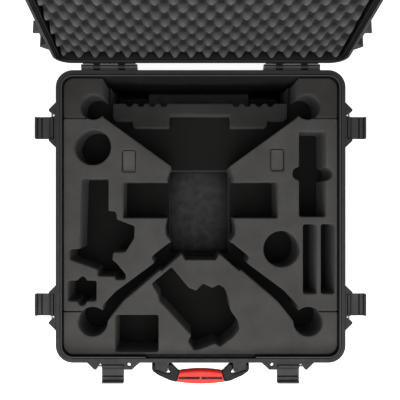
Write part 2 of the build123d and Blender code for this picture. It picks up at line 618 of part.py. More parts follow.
# ---- trolley ----
COVER_WEB, COVER_SKIN = 22.0, 3.0
SOCKET_HALF = 18.0
PULL_LOW, PULL_HIGH = 12.0, 43.0
BUTTON_HALF, BUTTON_LOW, BUTTON_HIGH, BUTTON_L = 18.5, 19.5, 35.5, 8.0
BUTTON_FRONT, BUTTON_GAP, BUTTON_RECESS = -304.5, 0.5, 10.0


def pair_of_rods(radius, front, back, mode=Mode.ADD):
    """Two round bars, or bores, along the trolley's run."""
    with BuildSketch(Plane.XZ.offset(-front)) as outline:
        with Locations((ROD_X, ROD_Z), (-ROD_X, ROD_Z)):
            Circle(radius)
    extrude(outline.sketch, amount=-(back - front), mode=mode)


with BuildPart() as trolley_cover:
    with BuildSketch(Plane.XY):
        with Locations((0, (COVER_FRONT + COVER_BACK) / 2)):
            RectangleRounded(2 * COVER_HALF, COVER_BACK - COVER_FRONT, 8)
    extrude(amount=SHELL_Z)
    chamfer(trolley_cover.faces().sort_by(Axis.Z)[0].edges(), 2)
    with BuildSketch(Plane.XY.offset(COVER_SKIN)):
        with Locations((0, (COVER_FRONT + COVER_BACK) / 2)):
            with GridLocations(0, (COVER_BACK - COVER_FRONT - COVER_WEB) / 3, 1, 3):
                Rectangle(2 * (CHANNEL_HALF - 6), (COVER_BACK - COVER_FRONT - COVER_WEB) / 3 - COVER_WEB)
    extrude(amount=SHELL_Z, mode=Mode.SUBTRACT)
    with BuildSketch(Plane.XY):
        with Locations(*[(side * SCREW_X, y) for side in (-1, 1) for y in SCREW_Y]):
            Circle(SCREW_R + SEAT_FIT)
    extrude(amount=SHELL_Z, mode=Mode.SUBTRACT)
    with BuildSketch(Plane.XY):
        with Locations(*[(side * SCREW_X, y) for side in (-1, 1) for y in SCREW_Y]):
            Circle(SCREW_HEAD_R + 0.3)
    extrude(amount=4, mode=Mode.SUBTRACT)
save(trolley_cover, "trolley_cover")

with BuildPart() as cover_screws:
    with BuildSketch(Plane.XY.offset(1)):
        with Locations(*[(side * SCREW_X, y) for side in (-1, 1) for y in SCREW_Y]):
            Circle(SCREW_HEAD_R)
            RegularPolygon(1.8, 6, mode=Mode.SUBTRACT)
    extrude(amount=1.5)
    with BuildSketch(Plane.XY.offset(2.5)):
        with Locations(*[(side * SCREW_X, y) for side in (-1, 1) for y in SCREW_Y]):
            Circle(SCREW_HEAD_R)
    extrude(amount=1.5)
    with BuildSketch(Plane.XY.offset(4)):
        with Locations(*[(side * SCREW_X, y) for side in (-1, 1) for y in SCREW_Y]):
            Circle(SCREW_R)
    extrude(amount=SCREW_TOP - 4)
save(cover_screws, "cover_screws")

with BuildPart() as trolley_guides:
    pair_of_rods(GUIDE_R, GUIDE_FRONT, GUIDE_BACK)
    pair_of_rods(ROD_R + RUN_FIT, GUIDE_FRONT - 1, GUIDE_BACK + 1, mode=Mode.SUBTRACT)
save(trolley_guides, "trolley_guides")

for name, front in (("front", GUIDE_FRONT), ("rear", GUIDE_BACK - CLAMP_L)):
    with BuildPart() as clamp:
        with BuildSketch(Plane.XY.offset(SHELL_Z)):
            with Locations((0, front + CLAMP_L / 2)):
                Rectangle(2 * (CHANNEL_HALF - 0.2), CLAMP_L)
        extrude(amount=CHANNEL_TOP - SHELL_Z - 0.2)
        pair_of_rods(GUIDE_R + SEAT_FIT, front - 1, front + CLAMP_L + 1, mode=Mode.SUBTRACT)
        with BuildSketch(Plane.XY.offset(SHELL_Z)):
            with Locations((0, front + CLAMP_L / 2)):
                Rectangle(2 * (ROD_X - SOCKET_HALF), CLAMP_L)
        extrude(amount=CHANNEL_TOP - SHELL_Z - 8, mode=Mode.SUBTRACT)
    save(clamp, f"trolley_clamp_{name}")

with BuildPart() as trolley_rods:
    pair_of_rods(ROD_R, PULL_FRONT + 5, GUIDE_BACK - 36)
save(trolley_rods, "trolley_rods")

with BuildPart() as trolley_pull:
    with BuildSketch(Plane.XY.offset(PULL_LOW)):
        with Locations((0, (PULL_FRONT + PULL_GAP) / 2)):
            Rectangle(2 * (ROD_X + SOCKET_HALF), PULL_GAP - PULL_FRONT)
        with Locations((ROD_X, (PULL_FRONT + PULL_BACK) / 2), (-ROD_X, (PULL_FRONT + PULL_BACK) / 2)):
            Rectangle(2 * SOCKET_HALF, PULL_BACK - PULL_FRONT)
    extrude(amount=PULL_HIGH - PULL_LOW)
    fillet(trolley_pull.edges().filter_by(Axis.X), 4)
    with BuildSketch(Plane.XZ.offset(-PULL_FRONT)):
        with Locations((0, (BUTTON_LOW + BUTTON_HIGH) / 2)):
            Rectangle(2 * (BUTTON_HALF + BUTTON_GAP), BUTTON_HIGH - BUTTON_LOW + 2 * BUTTON_GAP)
    extrude(amount=-BUTTON_RECESS, mode=Mode.SUBTRACT)
    pair_of_rods(ROD_R + SEAT_FIT, PULL_FRONT + 5 - SEAT_FIT, PULL_BACK + 1, mode=Mode.SUBTRACT)
save(trolley_pull, "trolley_pull")

with BuildPart() as trolley_button:
    with BuildSketch(Plane.XZ.offset(-BUTTON_FRONT)):
        with Locations((0, (BUTTON_LOW + BUTTON_HIGH) / 2)):
            RectangleRounded(2 * BUTTON_HALF, BUTTON_HIGH - BUTTON_LOW, 3)
    extrude(amount=-BUTTON_L)
    chamfer(trolley_button.faces().sort_by(Axis.Y)[0].edges(), 1)
save(trolley_button, "trolley_button")


# ---- foam set, with cut-outs in the shape of what the case carries ----
WELL_REAR, WELL_REAR_R = (226.0, 231.0), 27.0
WELL_FRONT_AT, WELL_FRONT_R = (227.0, -222.0), 31.0
REAR_BAY = [(205, 300), (205, 209), (61, 105)]
BODY_BAY = [(61, 106), (70, 83), (70, -3), (74, -23), (73, -38), (62, -53), (39, -80), (33, -92)]
ARM_SLOT = [(50, -50), (68, -57), (103, -85), (97, -98), (179, -159), (207, -189), (202, -228), (163, -179),
            (85, -113), (81, -115), (30, -70)]
SIDE_BAY = ((115.0, 34.0), (96.0, 76.0))            # middle and size, right-hand side
TURRET_R = 38.0
TURRET_LEFT, TURRET_RIGHT = (-227.0, 146.0), (171.0, -69.0)
PLUG_LEFT, PLUG_RIGHT, PLUG_SIZE, PLUG_DROP = (-151.0, 116.5), (162.0, 119.0), (27.0, 45.0), 5.0
PLUG_FIT = 1.0
SQUARE_BAY, SQUARE_SIZE, NOTCH_R = (-249.5, -157.5), (60.0, 43.0), 9.5
CONTROLLER_LEFT = [(-250, 79), (-194, 79), (-194, 11), (-179, 10), (-176, -7), (-139, -21), (-140, -46),
                   (-158, -75), (-184, -76), (-186, -92), (-176, -100), (-158, -122), (-158, -134),
                   (-179, -134), (-181, -127), (-217, -126), (-217, -112), (-276, -91), (-276, -70),
                   (-254, -69)]
CONTROLLER_FRONT = [(-103, -142), (-61, -107), (-25, -151), (-9, -157), (5, -142), (25, -151), (39, -144),
                    (50, -151), (60, -173), (64, -200), (80, -221), (82, -237), (70, -253), (41, -275),
                    (31, -268), (-1, -280), (-14, -282), (-26, -264), (-19, -251), (-76, -189), (-87, -178),
                    (-89, -165)]
BOX_BAY, BOX_SIZE = (-134.0, -247.0), (91.0, 78.0)
CHARGER_BAY, CHARGER_SIZE, FINGER_R, FINGER_Y = (236.0, 89.0), (56.0, 180.0), 14.0, 90.0
BAR_BAYS, BAR_SIZE = ((230.5, -90.0), (268.5, -90.0)), (29.0, 146.0)
COMB = [(68, 221), (68, 194), (147, 194), (147, 210), (190, 210), (190, 245)]
COMB_TOP, SCALLOP_R, SCALLOP_X = 206.0, 8.0, (79.0, 104.0, 129.0, 154.0)

# pieces of the top layer meet along seams from the side walls, and elsewhere across the cut-outs
REAR_SEAM, FRONT_SEAM = 207.0, -200.5
MID_EDGE = [(300, REAR_SEAM - SEAM / 2), (238, REAR_SEAM - SEAM / 2), WELL_REAR, (205, 225),
            (130, 175), (0, 80), (0, -45), (50, -62), (91, -105), (171, -169), WELL_FRONT_AT,
            (248, FRONT_SEAM + SEAM / 2), (300, FRONT_SEAM + SEAM / 2)]
FRONT_EDGE = [(300, -300), (300, FRONT_SEAM - SEAM / 2), (248, FRONT_SEAM - SEAM / 2), WELL_FRONT_AT,
              (171, -169), (91, -105), (50, -70), (0.5, -60)]
CORNER_EDGE = [(300, REAR_SEAM + SEAM / 2), (238, REAR_SEAM + SEAM / 2), WELL_REAR, (205, 240),
               (204, 300), (300, 300)]
FILLER = [(121.5, -276), (276, -276), (276, 228), (190, 228), (190, 276), (121.5, 276)]


def cut_drone():
    """The cut-outs along the folded drone: bays, arm slots and motor wells."""
    Polygon(*mirrored(REAR_BAY), align=None)
    Polygon(*mirrored(BODY_BAY), align=None)
    for side in (-1, 1):
        Polygon(*flip(ARM_SLOT, side), align=None)
        for (x, y), radius in ((WELL_REAR, WELL_REAR_R), (WELL_FRONT_AT, WELL_FRONT_R)):
            with Locations((side * x, y)):
                Circle(radius)
        (x, y), size = SIDE_BAY
        with Locations((side * x, y)):
            Rectangle(*size)


def cut_left():
    Polygon(*CONTROLLER_LEFT, align=None)
    with Locations(TURRET_LEFT):
        Circle(TURRET_R)
    with Locations(PLUG_LEFT):
        Rectangle(PLUG_SIZE[0] + 2 * PLUG_FIT, PLUG_SIZE[1] + 2 * PLUG_FIT)
    with Locations(SQUARE_BAY):
        Rectangle(*SQUARE_SIZE)
        with Locations((0, SQUARE_SIZE[1] / 2), (0, -SQUARE_SIZE[1] / 2)):
            Circle(NOTCH_R)


def cut_right():
    with Locations(CHARGER_BAY):
        Rectangle(*CHARGER_SIZE)
    for side in (-1, 1):
        with Locations((CHARGER_BAY[0] + side * CHARGER_SIZE[0] / 2, FINGER_Y)):
            Circle(FINGER_R)
    with Locations(*BAR_BAYS):
        Rectangle(*BAR_SIZE)
    with Locations(TURRET_RIGHT):
        Circle(TURRET_R)
    with Locations(PLUG_RIGHT):
        Rectangle(PLUG_SIZE[0] + 2 * PLUG_FIT, PLUG_SIZE[1] + 2 * PLUG_FIT)


def cut_front():
    Polygon(*CONTROLLER_FRONT, align=None)
    with Locations(BOX_BAY):
        Rectangle(*BOX_SIZE)


TOP_LAYER = {
    "foam_left": (flip(MID_EDGE, -1), cut_left),
    "foam_right": (MID_EDGE, cut_right),
    "foam_front": (mirrored(FRONT_EDGE), cut_front),
    "foam_corner_left": (flip(CORNER_EDGE, -1), None),
    "foam_corner_right": (CORNER_EDGE, None),
}

for name, (edge, cut_pockets) in TOP_LAYER.items():
    with BuildPart() as piece:
        with BuildSketch(Plane.XY.offset(FOAM_TOP)):
            rim_outline(FOAM_IN)
        extrude(amount=FOAM_MID - FOAM_TOP, taper=DRAFT)
        with BuildSketch(Plane.XY.offset(FOAM_MID)):
            Polygon(*edge, align=None)
        extrude(amount=FOAM_TOP - FOAM_MID, mode=Mode.INTERSECT)
        with BuildSketch(Plane.XY.offset(FOAM_MID)):
            cut_drone()
            if cut_pockets:
                cut_pockets()
        extrude(amount=FOAM_TOP - FOAM_MID, mode=Mode.SUBTRACT)
    save(piece, name)

with BuildPart() as foam_lower:
    with BuildSketch(Plane.XY.offset(FOAM_MID - 0.5)):
        rim_outline(FOAM_IN + (FOAM_TOP - FOAM_MID) * DRAFT_SLOPE)
    extrude(amount=FOAM_LOW - FOAM_MID + 0.5, taper=DRAFT)
    with BuildSketch(Plane.XY.offset(FOAM_LOW)):
        with Locations((0, 6)):
            Rectangle(136, 190)
        with Locations((0, 280)):
            Rectangle(400, 2 * 33)
    extrude(amount=FOAM_MID - FOAM_LOW, mode=Mode.SUBTRACT)
    with BuildSketch(Plane.XY.offset(FOAM_LOW)):
        with Locations((WHEEL_X, HALF_Y), (-WHEEL_X, HALF_Y)):
            Rectangle(2 * (WELL_HALF + WALL + SEAM), 2 * (HALF_Y - WELL_FRONT + WALL + SEAM))
    extrude(amount=WELL_TOP + WALL + SEAM - FOAM_LOW, mode=Mode.SUBTRACT)
save(foam_lower, "foam_lower")

with BuildPart() as foam_comb:
    with BuildSketch(Plane.XY.offset(FOAM_MID)):
        Polygon(*mirrored(COMB), align=None)
        with Locations(*[(side * x, COMB[-1][1] + 1) for x in SCALLOP_X for side in (-1, 1)]):
            Circle(SCALLOP_R, mode=Mode.SUBTRACT)
    extrude(amount=COMB_TOP - FOAM_MID)
save(foam_comb, "foam_comb")

for name, middle in (("left", PLUG_LEFT), ("right", PLUG_RIGHT)):
    with BuildPart() as plug:
        with BuildSketch(Plane.XY.offset(FOAM_MID)):
            with Locations(middle):
                Rectangle(*PLUG_SIZE)
        extrude(amount=FOAM_TOP - PLUG_DROP - FOAM_MID)
    save(plug, f"foam_plug_{name}")

for side, name in ((-1, "left"), (1, "right")):
    with BuildPart() as filler:
        with BuildSketch(Plane.XY.offset(FLOOR_Z + 0.5)):
            Polygon(*flip(FILLER, side), align=None)
        extrude(amount=FOAM_LOW - FLOOR_Z - 1)
    save(filler, f"foam_filler_{name}")
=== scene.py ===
import json
import math

import bmesh
import bpy
import numpy as np
from mathutils import Matrix, Vector, noise


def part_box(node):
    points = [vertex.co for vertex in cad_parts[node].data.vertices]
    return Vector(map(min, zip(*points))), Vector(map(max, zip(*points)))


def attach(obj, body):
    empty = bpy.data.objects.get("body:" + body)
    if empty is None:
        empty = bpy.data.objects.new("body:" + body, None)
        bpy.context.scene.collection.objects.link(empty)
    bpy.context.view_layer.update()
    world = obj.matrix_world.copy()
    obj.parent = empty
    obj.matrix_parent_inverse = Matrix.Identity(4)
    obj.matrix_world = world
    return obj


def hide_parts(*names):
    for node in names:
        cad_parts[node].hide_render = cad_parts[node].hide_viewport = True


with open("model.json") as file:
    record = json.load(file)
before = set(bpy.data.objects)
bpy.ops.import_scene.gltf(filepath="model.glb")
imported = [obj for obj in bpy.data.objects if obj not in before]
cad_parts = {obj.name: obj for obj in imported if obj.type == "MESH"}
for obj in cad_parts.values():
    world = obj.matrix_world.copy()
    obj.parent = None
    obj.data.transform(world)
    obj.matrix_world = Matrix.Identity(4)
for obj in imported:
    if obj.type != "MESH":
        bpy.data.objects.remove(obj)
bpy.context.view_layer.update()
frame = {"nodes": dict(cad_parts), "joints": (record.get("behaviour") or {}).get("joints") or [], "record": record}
scene = bpy.context.scene
nodes = frame["nodes"]
MM = 0.001


# ---------------------------------------------------------------- camera
LIP_STANDS = 3 * MM                       # the seal lip stands this far above the rim
RIM_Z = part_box("base_shell")[1].z - LIP_STANDS
CAMERA_OVER_RIM = 1.42
CAMERA_X, CAMERA_Y = -32.6 * MM, 34.3 * MM

camera_data = bpy.data.cameras.new("camera")
camera_data.sensor_width = 36
camera_data.lens = 61.2
camera_data.shift_x = 0.0375
camera_data.clip_end = 20
camera = bpy.data.objects.new("camera", camera_data)
camera.location = (CAMERA_X, CAMERA_Y, RIM_Z + CAMERA_OVER_RIM)
scene.collection.objects.link(camera)
scene.camera = camera


# ---------------------------------------------------------------- the lid's own frame
hinge = next(j for j in frame["joints"] if j["name"] == "lid_hinge")
HINGE_AT = Vector(hinge["pos_m"])
LID_SWING = Matrix.Translation(HINGE_AT) @ Matrix.Rotation(
    -math.radians(hinge["range_deg"][1]), 4, Vector(hinge["axis"])) @ Matrix.Translation(-HINGE_AT)


def shut_box(node):
    """A lid node's lowest and highest corners with the lid shut."""
    back = LID_SWING.inverted()
    corners = np.array([back @ v.co for v in nodes[node].data.vertices])
    return Vector(corners.min(0)), Vector(corners.max(0))


# ---------------------------------------------------------------- material helpers
class Shader:
    """Short names for making a node material."""

    def __init__(self, name):
        self.material = bpy.data.materials.new(name)
        self.material.use_nodes = True
        self.tree = self.material.node_tree
        self.surface = self.tree.nodes["Principled BSDF"]
        self.place = self.add("ShaderNodeTexCoord").outputs["Object"]

    def add(self, kind, **settings):
        node = self.tree.nodes.new(kind)
        for key, value in settings.items():
            setattr(node, key, value)
        return node

    def link(self, source, target):
        self.tree.links.new(source, target)

    def feed(self, node, **inputs):
        for key, value in inputs.items():
            socket = node.inputs[key.replace("_", " ")]
            if isinstance(value, bpy.types.NodeSocket):
                self.link(value, socket)
            else:
                socket.default_value = value
        return node

    def noise(self, scale, detail=3.0, rough=0.5, place=None):
        node = self.add("ShaderNodeTexNoise")
        self.feed(node, Vector=place or self.place, Scale=scale, Detail=detail, Roughness=rough)
        return node.outputs["Fac"]

    def cells(self, scale):
        node = self.add("ShaderNodeTexVoronoi", feature="F1")
        self.feed(node, Vector=self.place, Scale=scale, Randomness=1.0)
        return node.outputs["Distance"]

    def stretch(self, x, y, z):
        """The place, scaled unevenly, for brushed and drawn grain."""
        node = self.add("ShaderNodeMapping")
        self.feed(node, Vector=self.place, Scale=(x, y, z))
        return node.outputs["Vector"]

    def ramp(self, fac, low, high, start=0.0, end=1.0):
        """A value, or one of its ends, remapped from start..end to low..high."""
        node = self.add("ShaderNodeMapRange")
        self.feed(node, Value=fac, From_Min=start, From_Max=end, To_Min=low, To_Max=high)
        return node.outputs["Result"]

    def blend(self, fac, first, second):
        node = self.add("ShaderNodeMix", data_type="RGBA")
        self.link(fac, node.inputs["Factor"])
        colours = [s for s in node.inputs if s.type == "RGBA"]
        for socket, value in zip(colours, (first, second)):
            if isinstance(value, bpy.types.NodeSocket):
                self.link(value, socket)
            else:
                socket.default_value = (*value, 1)
        return next(s for s in node.outputs if s.type == "RGBA")

    def crevice(self, reach, open_at):
        """A mask for painted shade: 0 on open faces, 1 deep in grooves and gaps narrower than reach."""
        node = self.add("ShaderNodeAmbientOcclusion", samples=8)
        self.feed(node, Distance=reach)
        return self.ramp(node.outputs["AO"], 1, 0, open_at - 0.5, open_at)

    def eased_edges(self, radius):
        node = self.add("ShaderNodeBevel", samples=6)
        self.feed(node, Radius=radius)
        return node.outputs["Normal"]

    def bump(self, height, strength, distance, under=None):
        node = self.add("ShaderNodeBump")
        self.feed(node, Height=height, Strength=strength, Distance=distance)
        if under:
            self.link(under, node.inputs["Normal"])
        return node.outputs["Normal"]

    def finish(self, **inputs):
        self.feed(self.surface, **inputs)
        return self.material


def moulded_plastic(name, colour, rough=0.5, grain=1400.0, gloss=0.3, deep=1.0, reach=9 * MM,
                    open_at=0.72, edge=0.9 * MM, recess_shade_reach=0.0, painted_highlight=None):
    """Moulded polypropylene: fine spark-eroded grain, slow tone changes, faint scuffs, painted shade in grooves;
    if asked, painted shade in recesses and a painted highlight.
    """
    s = Shader(name)
    dark = tuple(c * 0.88 for c in colour)
    light = tuple(c * 1.14 for c in colour)
    tone = s.ramp(s.noise(9, 4), 0, 1, 0.3, 0.7)
    scuff = s.ramp(s.noise(240, 2, 0.6, s.stretch(1, 6, 2)), 0, 1, 0.62, 0.8)
    body = s.blend(tone, dark, light)
    scuffed = tuple(c * 1.9 + 0.006 for c in colour)
    body = s.blend(s.ramp(scuff, 0, 0.35), body, scuffed)
    if painted_highlight:
        # painted highlight: the masked band is made over three times lighter, as if light caught it
        body = s.blend(painted_highlight(s), body, tuple(c * 3.2 for c in colour))
    # painted shade: grooves and gaps narrower than reach are darkened nearly to black, and their reflection is
    # turned down
    painted_groove_shade = s.crevice(reach, open_at)
    body = s.blend(painted_groove_shade, body, tuple(c * 0.06 for c in colour))
    if recess_shade_reach:
        # painted shade: recesses within this reach are darkened to a fifth and their reflection turned down
        painted_recess_shade = s.crevice(recess_shade_reach, 0.62)
        body = s.blend(painted_recess_shade, body, tuple(c * 0.2 for c in colour))
        gloss = s.ramp(painted_recess_shade, gloss, gloss * 0.2)
    roughness = s.ramp(s.noise(60, 3), rough - 0.07, rough + 0.09, 0.3, 0.7)
    skin = s.bump(s.cells(grain), 0.25 * deep, 0.00025, s.eased_edges(edge))
    skin = s.bump(s.noise(grain * 0.35, 4), 0.2 * deep, 0.0004, skin)
    return s.finish(Base_Color=body, Roughness=roughness, Normal=skin,
                    Specular_IOR_Level=s.ramp(painted_groove_shade, gloss, 0.05))


def cut_foam(name, colour, cell=900.0, deep=1.0, painted_hollow_shade=None):
    """Open-cell foam: pinhole cells, soft mottling and a dusty sheen, with painted shade down in its hollows."""
    s = Shader(name)
    dark = tuple(c * 0.8 for c in colour)
    light = tuple(c * 1.16 for c in colour)
    mottle = s.ramp(s.noise(14, 5, 0.6), 0, 1, 0.3, 0.7)
    body = s.blend(mottle, dark, light)
    pores = s.ramp(s.cells(cell), 1, 0, 0.0, 0.35)
    body = s.blend(s.ramp(pores, 0, 0.55), body, tuple(c * 0.35 for c in colour))
    fleck = s.ramp(s.noise(cell * 0.9, 2), 0, 0.5, 0.58, 0.75)
    body = s.blend(fleck, body, tuple(c * 1.9 for c in colour))
    if painted_hollow_shade:
        # painted shade: the foam darkens to a sixth of its colour where the mask is full
        body = s.blend(painted_hollow_shade(s), body, tuple(c * 0.16 for c in colour))
    skin = s.bump(s.cells(cell), 0.55 * deep, 0.0006)
    skin = s.bump(s.noise(cell * 0.2, 4), 0.3 * deep, 0.0012, skin)
    return s.finish(Base_Color=body, Roughness=0.97, Normal=skin, Specular_IOR_Level=0.12,
                    Sheen_Weight=0.12, Sheen_Roughness=0.6)


def drawn_metal(name, colour, along, rough=0.32):
    """Drawn bar or tube: fine lines along its length."""
    s = Shader(name)
    place = s.stretch(*[4 if axis == along else 900 for axis in "XYZ"])
    lines = s.noise(1.0, 3, 0.6, place)
    dark, light = (tuple(c * k for c in colour) for k in (0.8, 1.1))
    body = s.blend(s.ramp(lines, 0, 1, 0.35, 0.65), dark, light)
    skin = s.bump(lines, 0.15, 0.0002)
    return s.finish(Base_Color=body, Metallic=1.0, Normal=skin,
                    Roughness=s.ramp(lines, rough - 0.06, rough + 0.1, 0.3, 0.7))


def soft_rubber(name, colour, rough=0.75):
    """Matt rubber with a bloomed, slightly dusty skin."""
    s = Shader(name)
    bloom = s.ramp(s.noise(45, 5, 0.65), 0, 1, 0.35, 0.7)
    body = s.blend(bloom, colour, tuple(c * 1.7 + 0.004 for c in colour))
    skin = s.bump(s.noise(1600, 3), 0.2, 0.0002)
    return s.finish(Base_Color=body, Roughness=s.ramp(bloom, rough - 0.08, rough + 0.1), Normal=skin,
                    Specular_IOR_Level=0.3)


def by_height(s, start, end):
    """0 at height start, 1 at height end."""
    axes = s.add("ShaderNodeSeparateXYZ")
    s.feed(axes, Vector=s.place)
    return s.ramp(axes.outputs["Z"], 0, 1, start, end)


def on_lip(s):
    """1 on the upstanding lip the lid's seal sits on, where a highlight is painted."""
    return by_height(s, RIM_Z + 0.5 * MM, RIM_Z + 2 * MM)


SHELL_COLOUR = (0.024, 0.0232, 0.0225)
# painted shade: every shell-plastic piece but the base shell gets this darker copy of the shell colour
SHADED_LID_COLOUR = tuple(c * 0.72 for c in SHELL_COLOUR)
SHELL = moulded_plastic("shell_plastic", SHADED_LID_COLOUR, 0.55, 1300, 0.28, recess_shade_reach=70 * MM)
BASE_SHELL = moulded_plastic("base_shell_plastic", SHELL_COLOUR, 0.52, 1300, 0.36, recess_shade_reach=70 * MM,
                             painted_highlight=on_lip)
LATCH = moulded_plastic("latch_plastic", (0.036, 0.035, 0.034), 0.46, 1700, 0.36, 0.7, 5 * MM, 0.97)
BLACK = moulded_plastic("handle_plastic", (0.006, 0.006, 0.006), 0.3, 1800, 0.16, 0.6, edge=2.2 * MM)
VALVE = moulded_plastic("valve_plastic", (0.012, 0.012, 0.0125), 0.42, 1500, 0.35, 0.6)
RED = moulded_plastic("grip_red", (0.93, 0.026, 0.018), 0.42, 1100, 0.45, 0.8, 8 * MM, 0.8, 1.5 * MM)


def below_tray_top(s):
    """0 at the tray's top face, 1 a few centimetres down a cut-out's wall: where shade is painted."""
    return by_height(s, TRAY_TOP - 3 * MM, TRAY_TOP - 48 * MM)


def in_crate_pits(s):
    """Painted shade in the egg-crate's pits, from its own depth kept on its points when it is made."""
    pit = s.add("ShaderNodeAttribute", attribute_name=PIT_DEPTH).outputs["Fac"]
    return s.ramp(pit, 0, 1, 0.12, 0.68)


TRAY_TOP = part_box("foam_left")[1].z
PIT_DEPTH = "pit_depth"
TRAY_FOAM = cut_foam("tray_foam", (0.082, 0.079, 0.074), painted_hollow_shade=below_tray_top)
CORNER_FOAM = cut_foam("tray_foam_corner", (0.046, 0.044, 0.042), painted_hollow_shade=below_tray_top)
# painted shade: the comb foam, set deep in the tray, is a darker copy of the tray foam
SHADED_COMB_FOAM = cut_foam("tray_foam_comb", (0.038, 0.0365, 0.035))
PLUG_FOAM = cut_foam("tray_foam_plug", (0.100, 0.097, 0.093))
LID_FOAM = cut_foam("lid_foam", (0.105, 0.102, 0.101), 800, painted_hollow_shade=in_crate_pits)
STEEL = drawn_metal("steel_pin", (0.42, 0.42, 0.43), "X")
ALUMINIUM = drawn_metal("trolley_aluminium", (0.55, 0.56, 0.58), "Y", 0.28)
RUBBER = soft_rubber("foot_rubber", (0.014, 0.014, 0.014))
TYRE = soft_rubber("wheel_rubber", (0.016, 0.016, 0.016), 0.7)
SEAL = soft_rubber("seal_rubber", (0.008, 0.008, 0.008), 0.65)

MATERIALS = {
    "shell_plastic": SHELL, "latch_plastic": LATCH, "handle_plastic": BLACK, "valve_plastic": VALVE,
    "grip_red": RED, "tray_foam": TRAY_FOAM, "lid_foam": LID_FOAM, "steel_pin": STEEL,
    "trolley_aluminium": ALUMINIUM, "foot_rubber": RUBBER, "wheel_rubber": TYRE, "seal_rubber": SEAL,
}
for entry in frame["record"]["subparts"]:
    mesh = nodes[entry["node"]].data
    mesh.materials.clear()
    is_base = entry["node"] == "base_shell"
    mesh.materials.append(BASE_SHELL if is_base else MATERIALS[entry["material_slot"]])


# ---------------------------------------------------------------- piece helpers
def new_piece(name, mesh, material, body):
    piece = bpy.data.objects.new(name, mesh)
    scene.collection.objects.link(piece)
    mesh.materials.clear()
    mesh.materials.append(material)
    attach(piece, body)
    return piece


def applied(piece):
    """Swap a piece's mesh for the one its modifiers make."""
    graph = bpy.context.evaluated_depsgraph_get()
    mesh = bpy.data.meshes.new_from_object(piece.evaluated_get(graph))
    piece.modifiers.clear()
    piece.data = mesh
    return mesh


def shade_smooth(mesh):
    mesh.polygons.foreach_set("use_smooth", [True] * len(mesh.polygons))
    mesh.update()


def rounded_off(node, name, material, body, voxel, passes, waves=0.0):
    """A softer version of a CAD node, with eased corners and, if asked, slightly uneven faces."""
    piece = bpy.data.objects.new(name, nodes[node].data.copy())
    scene.collection.objects.link(piece)
    remesh = piece.modifiers.new("remesh", "REMESH")
    remesh.mode = "VOXEL"
    remesh.voxel_size = voxel
    smooth = piece.modifiers.new("smooth", "SMOOTH")
    smooth.factor = 0.5
    smooth.iterations = passes
    mesh = applied(piece)
    if waves:
        uneven(mesh, waves)
    shade_smooth(mesh)
    mesh.materials.clear()
    mesh.materials.append(material)
    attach(piece, body)
    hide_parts(node)
    return piece


# ---------------------------------------------------------------- tray foam
FOAM_VOXEL, FOAM_PASSES = 2.2 * MM, 3
FOAM_WAVES = 0.35 * MM                    # unevenness of the cut faces


def uneven(mesh, amount):
    """Push the surface in by up to amount, in slow waves, as cut foam is."""
    co = np.empty(len(mesh.vertices) * 3)
    no = np.empty(len(mesh.vertices) * 3)
    mesh.vertices.foreach_get("co", co)
    mesh.vertices.foreach_get("normal", no)
    co, no = co.reshape(-1, 3), no.reshape(-1, 3)
    x, y, z = co.T
    wave = np.sin(x * 71 + 1.3 * np.sin(y * 43)) + np.sin(y * 83 + 1.7 * np.sin(z * 97))
    wave = (wave + np.sin(z * 121 + x * 37)) / 6 - 0.5
    co += no * (wave * amount)[:, None]
    mesh.vertices.foreach_set("co", co.ravel())
    mesh.update()


def soft_foam(node, material, body):
    piece = rounded_off(node, node + "_soft", material, body, FOAM_VOXEL, FOAM_PASSES, FOAM_WAVES)


OTHER_FOAM = {"plug": PLUG_FOAM, "corner": CORNER_FOAM, "comb": SHADED_COMB_FOAM}
TRAY_NODES = [e["node"] for e in frame["record"]["subparts"] if e["material_slot"] == "tray_foam"]
for node in TRAY_NODES:
    cut_from = next((m for part, m in OTHER_FOAM.items() if part in node), TRAY_FOAM)
    soft_foam(node, cut_from, "base")
soft_foam("lid_foam_backing", LID_FOAM, "lid")


# ---------------------------------------------------------------- handle arms
ARM_VOXEL, ARM_PASSES = 0.9 * MM, 7
rounded_off("handle_frame", "handle_frame_rounded", BLACK, "handle", ARM_VOXEL, ARM_PASSES)


# ---------------------------------------------------------------- egg-crate foam in the lid
CRATE_PITCH, CRATE_ROW = 33.05 * MM, 28.6 * MM
CRATE_PHASE_X, CRATE_PHASE_Y = 13.5 * MM, -3.5 * MM
CRATE_DEEP = 15.5 * MM
CRATE_STEP = 2.1 * MM
CRATE_CORNER = 20 * MM
CRATE_MARGIN = 1.5 * MM                   # kept clear of the CAD sheet's sides
CRATE_INSET, CRATE_BACK_GAP = 1 * MM, 0.5 * MM   # and of its face and back
CRATE_BANDS = 6                           # rows of faces down the sheet's sides
CRATE_EASE = 0.4                          # 0 plain waves, 1 broad flat peaks and pits
CRATE_NARROW = 1.3                        # above 1, peaks narrower than the pits


def into_rounded(x, y, half_x, half_y, radius):
    """A point of a square-cornered slab pulled in to lie inside its rounded corners."""
    cx, cy = half_x - radius, half_y - radius
    dx, dy = abs(x) - cx, abs(y) - cy
    reach = math.hypot(dx, dy)
    if dx <= 0 or dy <= 0 or reach <= radius:
        return x, y
    return math.copysign(cx + dx * radius / reach, x), math.copysign(cy + dy * radius / reach, y)


